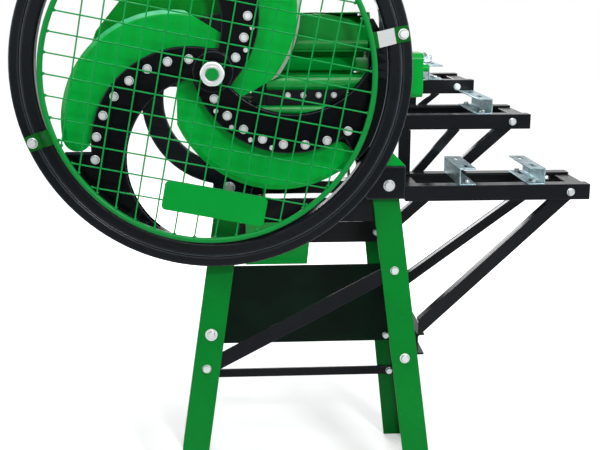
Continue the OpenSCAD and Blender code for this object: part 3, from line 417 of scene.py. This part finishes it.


# Gloss black over a sand-cast skin: the sand leaves a grain of about 1.5 mm, drawn at 4 mm
# so that it shows, over waves some 60 mm long, and the paint softens both. The outer edges
# are lightened to grey lines, a painted highlight.
def cast_enamel(name, code, thin_code, specular):
    """Gloss enamel on a sand casting, with a painted highlight along the outer edges."""
    paint = bpy.data.materials.new(name)
    paint.use_nodes = True
    tree = paint.node_tree
    shader = tree.nodes["Principled BSDF"]
    shader.inputs["IOR"].default_value = 1.5
    shader.inputs["Specular IOR Level"].default_value = specular
    place = node(tree, "ShaderNodeTexCoord").outputs["Object"]
    waves = node(tree, "ShaderNodeTexNoise", {"Vector": place, "Scale": 1000 / 60, "Detail": 2.0})
    grain = node(tree, "ShaderNodeTexNoise", {"Vector": place, "Scale": 1000 / 4, "Detail": 3.0})
    tone = node(tree, "ShaderNodeMix", {0: waves.outputs[0], 6: srgb(code), 7: srgb(thin_code)},
                data_type="RGBA")
    # Painted highlight: convex outer edges are lightened to grey.
    depth = node(tree, "ShaderNodeAmbientOcclusion", {"Distance": 0.004}, inside=True, only_local=True,
                 samples=8)
    edge_highlight_share = node(tree, "ShaderNodeMapRange", {"Value": depth.outputs["AO"], "From Min": 0.45,
                                               "From Max": 0.9})
    tone_with_painted_edge_highlight = node(tree, "ShaderNodeMix", {0: edge_highlight_share.outputs[0], 6: srgb("#6A737A"), 7: tone.outputs[2]},
                data_type="RGBA")
    gloss = node(tree, "ShaderNodeMapRange", {"Value": grain.outputs[0], "To Min": 0.12, "To Max": 0.3})
    swell = node(tree, "ShaderNodeBump", {"Height": waves.outputs[0], "Strength": 0.25,
                                          "Distance": 0.004})
    skin = node(tree, "ShaderNodeBump", {"Height": grain.outputs[0], "Strength": 0.22,
                                         "Distance": 0.0008, "Normal": swell.outputs[0]})
    tree.links.new(tone_with_painted_edge_highlight.outputs[2], shader.inputs["Base Color"])
    tree.links.new(gloss.outputs[0], shader.inputs["Roughness"])
    tree.links.new(skin.outputs[0], shader.inputs["Normal"])
    return paint


cast_black = cast_enamel("black_painted_cast_iron", "#05080C", "#0D1217", 0.17)
for name in ("front_bearing", "rear_bearing", "bearing_bracket"):
    finished(name, cast_rounding, cast_black)
finished("gear_bracket", bracket_rounding, cast_black)

# The mouth's walls were sprayed green with the throat, and the fodder has rubbed them dull.
mouth_margin = 0.016
rubbed_enamel = enamel("rubbed_green_enamel", "#008A2C", "#009C38", 0.55, 0.0)
head = finished("head_plate", cast_rounding, cast_black)
head.data.materials.append(rubbed_enamel)
openings = frame["record"]["physics"]["openings"]
mouth_low, mouth_high = next(o for o in openings if o["name"] == "feed_mouth")["box_m"]
for face in head.data.polygons:
    beside = all(mouth_low[i] - mouth_margin < face.center[i] < mouth_high[i] + mouth_margin
                 for i in (0, 2))
    if beside and abs(face.normal.y) < wall_lean:
        face.material_index = 1


# Throat: folded and rolled sheet steel round the mouth and the rollers, with the apron and sill
# below, the hood over the worm wheels and the case on the right. Welded up and sprayed green.
sheet_rounding = 0.0008
cheek_rounding = 0.0012
case_rounding = 0.0015
green_enamel = enamel("bright_green_enamel", "#00932F", "#00A53B", 0.22, 0.1)
wet_enamel = enamel("wet_look_green_enamel", "#007F29", "#009138", 0.13, 0.34)
cap_enamel = enamel("cap_green_enamel", "#00631B", "#007C29", 0.13, 0.16)
hood_enamel = enamel("hood_green_enamel", "#007B1E", "#008A27", 0.22, 0.1)
for name, rounding, paint in (
    ("mouth_cap", sheet_rounding, cap_enamel),
    ("throat_lip", cheek_rounding, wet_enamel),
    ("throat_side_left", cheek_rounding, green_enamel),
    ("throat_side_right", cheek_rounding, green_enamel),
    ("gear_guard", sheet_rounding, hood_enamel),
    ("gear_case", case_rounding, green_enamel),
    ("chaff_chute", sheet_rounding, green_enamel),
):
    finished(name, rounding, paint)

# A flange is folded down at the cover sheet's rear edge, with a round hem along its foot.
fold_t = 0.0016
fold_break = 0.0004
fold_lap = 0.001
hem_r = 0.002
flange_drop = 0.04
cheek_gap = 0.002


def folded_lip(name, carrier, front, top, drop, paint):
    """A strip of sheet that hangs across the throat from a carrier's edge, hemmed at its foot."""
    roll_low, roll_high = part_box("lower_roller")
    long = roll_high.x - roll_low.x - 2 * cheek_gap
    middle = Vector(((roll_low.x + roll_high.x) / 2, front + fold_t / 2, top - drop / 2))
    bm = bmesh.new()
    bmesh.ops.create_cube(bm, size=1.0)
    bmesh.ops.scale(bm, vec=(long, fold_t, drop), verts=bm.verts)
    bmesh.ops.translate(bm, vec=middle, verts=bm.verts)
    bmesh.ops.bevel(bm, geom=bm.edges[:], offset=fold_break, offset_type="OFFSET", segments=1,
                    profile=0.5, affect="EDGES", material=-1)
    bmesh.ops.create_cone(bm, cap_ends=True, segments=16, radius1=hem_r, radius2=hem_r, depth=long,
                          matrix=Matrix.Translation(middle - Vector((0, 0, drop / 2)))
                          @ Matrix.Rotation(math.pi / 2, 4, "Y"))
    crease(bm, sharp_bend)
    mesh = bpy.data.meshes.new(name)
    bm.to_mesh(mesh)
    bm.free()
    piece = bpy.data.objects.new(name, mesh)
    bpy.context.scene.collection.objects.link(piece)
    piece.data.materials.append(paint)
    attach(piece, frame["nodes"][carrier]["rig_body"])


cap_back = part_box("mouth_cap")[1].y
cap_points = [v.co for v in frame["nodes"]["mouth_cap"].data.vertices]
cover_low = min(c.z for c in cap_points if c.y > cap_back - fold_lap)
folded_lip("cover_rear_flange", "mouth_cap", cap_back - fold_t, cover_low + fold_lap, flange_drop,
           cap_enamel)


# Ledger plate: a flat bar of hardened steel that the blades sweep past. It is painted black
# and held under the mouth by a row of bright bolts.
ledger_rounding = 0.0008
finished("ledger_plate", ledger_rounding, black_enamel)
bolted("ledger_bolts", bright_zinc, False)


# Trough: a folded sheet tray that the fodder is laid in, on two bent props behind the throat.
# The fodder that slides along it has scuffed its enamel dull.
scuffed_enamel = enamel("scuffed_green_enamel", "#006C22", "#007D2B", 0.6, 0.0)
finished("feed_trough", sheet_rounding, scuffed_enamel)
finished("trough_props", bar_rounding, black_enamel)

# A folded lip hangs from the floor's front edge and keeps the fodder off the lower roller's back.
lip_drop = 0.036
trough_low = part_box("feed_trough")[0]
folded_lip("trough_front_lip", "feed_trough", trough_low.y, trough_low.z + fold_lap, lip_drop,
           scuffed_enamel)


# Feed rollers: ribbed castings, painted green and rubbed dull by the fodder, keyed on turned
# shafts that run in plain bushes. A worm wheel is pressed on each shaft's left end.
rib_rounding = 0.0015
journal_break = 0.001
bush_break = 0.0006
tooth_break = 0.0005
finished("lower_roller", rib_rounding, rubbed_enamel)
finished("upper_roller", rib_rounding, rubbed_enamel)

# Turned steel: bare, with fine rings from the lathe about 0.4 mm apart, drawn at 2 mm so that
# they show, which stretch each highlight round the work.
turned_steel = bpy.data.materials.new("turned_steel")
turned_steel.use_nodes = True
tree = turned_steel.node_tree
shader = tree.nodes["Principled BSDF"]
shader.inputs["Base Color"].default_value = srgb("#B9BCBD")
shader.inputs["Metallic"].default_value = 1.0
place = node(tree, "ShaderNodeTexCoord").outputs["Object"]
rings = node(tree, "ShaderNodeTexWave", {"Vector": place, "Scale": 1000 / 2 / 6.28,
                                         "Distortion": 0.6, "Detail": 1.0}, bands_direction="DIAGONAL")
sheen = node(tree, "ShaderNodeMapRange", {"Value": rings.outputs[1], "To Min": 0.24, "To Max": 0.4})
cut = node(tree, "ShaderNodeBump", {"Height": rings.outputs[1], "Strength": 0.15, "Distance": 0.0003})
tree.links.new(sheen.outputs[0], shader.inputs["Roughness"])
tree.links.new(cut.outputs[0], shader.inputs["Normal"])
for name, rounding in (
    ("lower_roller_shaft", journal_break), ("upper_roller_shaft", journal_break),
    ("roller_bushes", bush_break),
    ("lower_worm_wheel", tooth_break), ("upper_worm_wheel", tooth_break),
):
    finished(name, rounding, turned_steel, crisp=0.0)


# Main shaft and worm: a stepped turned shaft with a cut worm on it. Its nose was sprayed green
# with the guard, after the nut was tightened.
shaft_break = 0.0015
sprayed_nose = 0.004
finished("worm", 0.0, turned_steel)
guard_enamel = enamel("guard_green_enamel", "#04762C", "#088538", 0.24, 0.12)
shaft = finished("main_shaft", shaft_break, turned_steel, crisp=0.0)
shaft.data.materials.append(guard_enamel)
nut_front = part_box("hub_nut")[0].y
for face in shaft.data.polygons:
    if face.center.y < nut_front + sprayed_nose:
        face.material_index = 1


# Flywheel: one iron casting, a rim with a grooved face, three crescent spokes and a hub,
# painted gloss black, duller on the spokes' side walls. The hub is bored for the shaft.
rim_inner_r = 0.385
wheel_rounding = 0.0024
sleeve_rounding = 0.001
wheel = finished("flywheel", wheel_rounding, cast_black, 3)
# Inside the rim the spokes and their side walls take a deeper black than the rim, as painted shade.
wheel.data.materials.append(cast_enamel("spoke_black_with_painted_shade", "#010203", "#05070A", 0.1))
wheel.data.materials.append(cast_enamel("dull_spoke_walls_with_painted_shade", "#010203", "#05070A", 0.0))
wheel_axis = next(j for j in frame["joints"] if j["name"] == "flywheel_spin")["pos_m"]
for face in wheel.data.polygons:
    if math.hypot(face.center.x - wheel_axis[0], face.center.z - wheel_axis[2]) < rim_inner_r:
        face.material_index = 2 if abs(face.normal.y) < wall_lean else 1
finished("hub_sleeve", sleeve_rounding, cast_black)


# Blades: crescents cut from 6 mm spring-steel plate, ground to an edge and sprayed green. The
# upper blade was honed again and is bare there, and the left one's bevel is paler towards its top, a
# painted highlight.
ground_w = 0.012
ground_depth = 0.005
edge_strip_w = {"blade_left": 0.009, "blade_top": 0.0075, "blade_right": 0.0}
bevel_bend = 15
bevel_flat = -0.995
bevel_steep = -0.3

# Ground steel: bare and pale, with scratches across the edge about 0.3 mm apart from the
# grinding wheel, drawn at 2.5 mm so that they show.
ground_steel = bpy.data.materials.new("ground_steel")
ground_steel.use_nodes = True
tree = ground_steel.node_tree
shader = tree.nodes["Principled BSDF"]
shader.inputs["Metallic"].default_value = 1.0
place = node(tree, "ShaderNodeTexCoord").outputs["Object"]
scratches = node(tree, "ShaderNodeTexNoise", {"Vector": place, "Scale": 1000 / 2.5, "Detail": 2.0})
tone = node(tree, "ShaderNodeMix", {0: scratches.outputs[0], 6: srgb("#8F9189"), 7: srgb("#B9BAB2")},
            data_type="RGBA")
sheen = node(tree, "ShaderNodeMapRange", {"Value": scratches.outputs[0], "To Min": 0.3, "To Max": 0.5})
tree.links.new(tone.outputs[2], shader.inputs["Base Color"])
tree.links.new(sheen.outputs[0], shader.inputs["Roughness"])

# Highlight enamel: the bright green, paler towards the top of the bevel, a painted highlight.
highlight_low = wheel_axis[2] + 0.03
highlight_high = wheel_axis[2] + 0.12
bevel_highlight_enamel = enamel("green_enamel_with_painted_highlight", "#00932F", "#00A53B", 0.16, 0.3)
tree = bevel_highlight_enamel.node_tree
colour = tree.nodes["Principled BSDF"].inputs["Base Color"]
place = node(tree, "ShaderNodeTexCoord").outputs["Object"]
height = node(tree, "ShaderNodeSeparateXYZ", {0: place})
highlight_share = node(tree, "ShaderNodeMapRange", {"Value": height.outputs["Z"], "From Min": highlight_low,
                                         "From Max": highlight_high})
highlighted_tone = node(tree, "ShaderNodeMix", {0: highlight_share.outputs[0], 6: colour.links[0].from_socket,
                                    7: srgb("#45BE80")}, data_type="RGBA")
tree.links.new(highlighted_tone.outputs[2], colour)

# The left blade's edge strip takes the painted highlight; the upper blade's strip is bare steel.
for name, strip_w in edge_strip_w.items():
    blade = finished(name, 0.0, green_enamel, sharp=bevel_bend)
    blade.data.materials.append(bevel_highlight_enamel if name == "blade_left" else ground_steel)
    strip_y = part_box(name)[0].y + ground_depth * (1 - strip_w / ground_w)
    bm = bmesh.new()
    bm.from_mesh(blade.data)
    slope = {f for f in bm.faces if bevel_flat < f.normal.y < bevel_steep}
    around = {e for f in slope for e in f.edges} | {v for f in slope for v in f.verts}
    bmesh.ops.bisect_plane(bm, geom=list(slope | around), dist=weld_gap, plane_co=(0, strip_y, 0),
                           plane_no=(0, 1, 0))
    crease(bm, bevel_bend)
    for face in bm.faces:
        if bevel_flat < face.normal.y < bevel_steep and face.calc_center_median().y > strip_y:
            face.material_index = 1
    bm.to_mesh(blade.data)
    bm.free()
bolted("blade_bolts", bright_zinc, False)


# Guard: a ring of 13 mm bar with straight wires welded across it in two layers, and a plain
# plate wired on. It is sprayed green and bolted to the rim by two bent straps.
bead_r = 0.0042
bead_stretch = (1.2, 0.8, 1.0)
wire_end = 0.98
plate_rounding = 0.0005
ring_paint_gap = 0.001
fold_flat = -0.97
fold_steep = -0.5
ring = finished("guard_ring", 0.0, guard_enamel)
wire_enamel = enamel("wire_green_enamel", "#007F33", "#0A9145", 0.22, 0.14)
wires = finished("guard_mesh", 0.0, wire_enamel)
plate_enamel = enamel("plate_green_enamel", "#00822A", "#009133", 0.22, 0.1)
finished("guard_plate", plate_rounding, plate_enamel)
bolted("guard_bolts", bright_zinc, False)

# The straps are a darker green than the ring, as painted shade, and the right one's bend is bare steel,
# a painted highlight.
strap_shaded_enamel = enamel("strap_green_with_painted_shade", "#005010", "#005E18", 0.24, 0.12)
ring.data.materials.append(strap_shaded_enamel)
ring.data.materials.append(turned_steel)
ring_low, ring_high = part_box("guard_ring")
mesh_low, mesh_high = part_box("guard_mesh")
ring_r = (ring_high.z - ring_low.z) / 2
ring_x = (mesh_low.x + mesh_high.x) / 2
ring_z = (ring_low.z + ring_high.z) / 2
for face in ring.data.polygons:
    if math.hypot(face.center.x - ring_x, face.center.z - ring_z) > ring_r + ring_paint_gap:
        highlight_bend = face.center.x > ring_x and fold_flat < face.normal.y < fold_steep
        face.material_index = 2 if highlight_bend else 1

# A bead of weld sits where each wire meets the ring.
bm = bmesh.new()
bm.from_mesh(wires.data)
waiting = set(bm.verts)
wire_ends = []
while waiting:
    group = [waiting.pop()]
    for vert in group:
        near = {e.other_vert(vert) for e in vert.link_edges} & waiting
        waiting -= near
        group.extend(near)
    middle = sum((v.co for v in group), Vector()) / len(group)
    far = max((v.co for v in group), key=lambda c: (c - middle).length) - middle
    for way in (far, -far):
        cap = [v.co for v in group if (v.co - middle).dot(way) > wire_end * way.length_squared]
        wire_ends.append(sum(cap, Vector()) / len(cap))
bm.free()
bm = bmesh.new()
for end in sorted(wire_ends, key=lambda c: c.to_tuple(4)):
    bead = bmesh.ops.create_icosphere(bm, subdivisions=1, radius=bead_r)
    bmesh.ops.scale(bm, vec=bead_stretch, verts=bead["verts"])
    bmesh.ops.translate(bm, vec=end, verts=bead["verts"])
for face in bm.faces:
    face.smooth = True
beads_mesh = bpy.data.meshes.new("guard_weld_beads")
bm.to_mesh(beads_mesh)
bm.free()
beads = bpy.data.objects.new("guard_weld_beads", beads_mesh)
bpy.context.scene.collection.objects.link(beads)
beads.data.materials.append(guard_enamel)
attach(beads, "wheel")


# Hub nut: a large hex nut with rounded corners, bright zinc plated, on a blackened flat
# washer. It clamps the guard against the sleeve on the shaft's nose.
nut_rounding = 0.003
finished("hub_nut", nut_rounding, bright_zinc, 3, crisp=0.0)

# Blackened steel: heated and quenched in oil, which leaves a dark, slightly glossy skin with
# blotches about 14 mm across.
oil_black = bpy.data.materials.new("oil_blackened_steel")
oil_black.use_nodes = True
tree = oil_black.node_tree
shader = tree.nodes["Principled BSDF"]
shader.inputs["Metallic"].default_value = 1.0
place = node(tree, "ShaderNodeTexCoord").outputs["Object"]
bloom = node(tree, "ShaderNodeTexNoise", {"Vector": place, "Scale": 1000 / 14, "Detail": 3.0})
tone = node(tree, "ShaderNodeMix", {0: bloom.outputs[0], 6: srgb("#101215"), 7: srgb("#23272C")},
            data_type="RGBA")
sheen = node(tree, "ShaderNodeMapRange", {"Value": bloom.outputs[0], "To Min": 0.22, "To Max": 0.4})
tree.links.new(tone.outputs[2], shader.inputs["Base Color"])
tree.links.new(sheen.outputs[0], shader.inputs["Roughness"])

hub_washer_r = 0.0285
nose_r = 0.0145
washer_break = 0.0006
front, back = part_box("hub_washer")
bm = bmesh.new()
outline = ((nose_r, front.y), (hub_washer_r, front.y), (hub_washer_r, back.y), (nose_r, back.y))
corners = [bm.verts.new((wheel_axis[0] + r, y, wheel_axis[2])) for r, y in outline]
profile = [bm.edges.new((corners[i - 1], corners[i])) for i in range(4)]
bmesh.ops.spin(bm, geom=corners + profile, cent=wheel_axis, axis=(0, 1, 0), angle=math.tau, steps=96,
               use_merge=True)
bmesh.ops.recalc_face_normals(bm, faces=bm.faces)
rims = [e for e in bm.edges if e.calc_face_angle(0.0) > square_bend]
bmesh.ops.bevel(bm, geom=rims, offset=washer_break, offset_type="OFFSET", segments=2, profile=0.5,
                affect="EDGES", material=-1)
crease(bm, sharp_bend)
washer_mesh = bpy.data.meshes.new("hub_washer_fitted")
bm.to_mesh(washer_mesh)
bm.free()
washer = bpy.data.objects.new("hub_washer_fitted", washer_mesh)
bpy.context.scene.collection.objects.link(washer)
washer.data.materials.append(oil_black)
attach(washer, "wheel")
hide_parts("hub_washer")


# Motor platforms: three stepped frames of 38 mm angle iron on struts, sprayed black and
# bolted together at their outer ends.
strut_rounding = 0.0007
for name in ("near_platform", "mid_platform", "top_platform"):
    finished(name, bar_rounding, black_enamel)
for name in ("near_struts", "mid_struts", "top_strut"):
    finished(name, strut_rounding, black_enamel)
bolted("platform_bolts", bright_zinc, False)


# Motor rails: rolled channel with slots for a motor's feet, cut from galvanised strut stock
# and bolted down across the platforms.
rail_bend = 0.001

# Galvanised strip: crystals of zinc, some 6 mm across, each at its own tone of blue grey,
# drawn out along the rolling direction.
galvanised = bpy.data.materials.new("galvanised_strip")
galvanised.use_nodes = True
tree = galvanised.node_tree
shader = tree.nodes["Principled BSDF"]
shader.inputs["Metallic"].default_value = 1.0
place = node(tree, "ShaderNodeTexCoord").outputs["Object"]
rolled = node(tree, "ShaderNodeMapping", {"Vector": place, "Scale": (1.0, 0.5, 1.0)})
crystals = node(tree, "ShaderNodeTexVoronoi", {"Vector": rolled.outputs[0], "Scale": 1000 / 6})
cells = node(tree, "ShaderNodeSeparateColor", {"Color": crystals.outputs["Color"]})
tone = node(tree, "ShaderNodeMix", {0: cells.outputs[0], 6: srgb("#7F9AA2"), 7: srgb("#AEC4CA")},
            data_type="RGBA")
sheen = node(tree, "ShaderNodeMapRange", {"Value": cells.outputs[1], "To Min": 0.28, "To Max": 0.46})
tree.links.new(tone.outputs[2], shader.inputs["Base Color"])
tree.links.new(sheen.outputs[0], shader.inputs["Roughness"])
for name in ("near_motor_rails", "mid_motor_rail", "top_motor_rail"):
    finished(name, rail_bend, galvanised)


# Rail stop: a bent steel tab on the top rail, with a jack screw and its lock nut that push a
# motor's foot along the slots. Zinc plated, and welded to the rail between its two slots.
tab_w = 0.026
tab_high = 0.038
tab_deep = 0.03
tab_t = 0.003
tab_corner = 0.008
tab_break = 0.0005
tab_inset = 0.0165
weld_sink = 0.0002
screw_r = 0.005
screw_high = 0.024
screw_break = 0.0006
nut_r = 0.0095
rail_low, rail_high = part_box("top_motor_rail")
tab_x = rail_low.x + tab_inset
tab_y = (rail_low.y + rail_high.y) / 2 - tab_deep / 2
tab_z = rail_high.z - weld_sink
bm = bmesh.new()
upright = bmesh.ops.create_cube(bm, size=1.0)
bmesh.ops.scale(bm, vec=(tab_w, tab_t, tab_high), verts=upright["verts"])
bmesh.ops.translate(bm, vec=(tab_x, tab_y + tab_t / 2, tab_z + tab_high / 2), verts=upright["verts"])
corners = [e for e in bm.edges if abs(e.verts[0].co.y - e.verts[1].co.y) > 0.5 * tab_t
           and e.verts[0].co.z > tab_z + 0.5 * tab_high]
bmesh.ops.bevel(bm, geom=corners, offset=tab_corner, offset_type="OFFSET", segments=5, profile=0.5,
                affect="EDGES", material=-1)
foot = bmesh.ops.create_cube(bm, size=1.0)
bmesh.ops.scale(bm, vec=(tab_w, tab_deep, tab_t), verts=foot["verts"])
bmesh.ops.translate(bm, vec=(tab_x, tab_y + tab_deep / 2, tab_z + tab_t / 2), verts=foot["verts"])
edges = [e for e in bm.edges if e.calc_face_angle(0.0) > square_bend]
bmesh.ops.bevel(bm, geom=edges, offset=tab_break, offset_type="OFFSET", segments=2, profile=0.5,
                affect="EDGES", material=-1)

# The screw, its lock nut in front of the tab and its head, each from start to end across the tab.
lying = Matrix.Rotation(math.pi / 2, 4, "X")
for sides, radius, start, end in (
    (24, screw_r, -0.016, 0.03), (6, nut_r, -0.008, 0.0), (6, nut_r, -0.022, -0.016),
):
    middle = Matrix.Translation((tab_x, tab_y + (start + end) / 2, tab_z + screw_high))
    rod = bmesh.ops.create_cone(bm, cap_ends=True, segments=sides, radius1=radius, radius2=radius,
                                depth=end - start, matrix=middle @ lying)
    rims = {e for v in rod["verts"] for e in v.link_edges if e.calc_face_angle(0.0) > square_bend}
    bmesh.ops.bevel(bm, geom=list(rims), offset=screw_break, offset_type="OFFSET", segments=2,
                    profile=0.5, affect="EDGES", material=-1)
crease(bm, sharp_bend)
stop_mesh = bpy.data.meshes.new("top_rail_stop")
bm.to_mesh(stop_mesh)
bm.free()
rail_stop = bpy.data.objects.new("top_rail_stop", stop_mesh)
bpy.context.scene.collection.objects.link(rail_stop)
rail_stop.data.materials.append(bright_zinc)
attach(rail_stop, "stand")
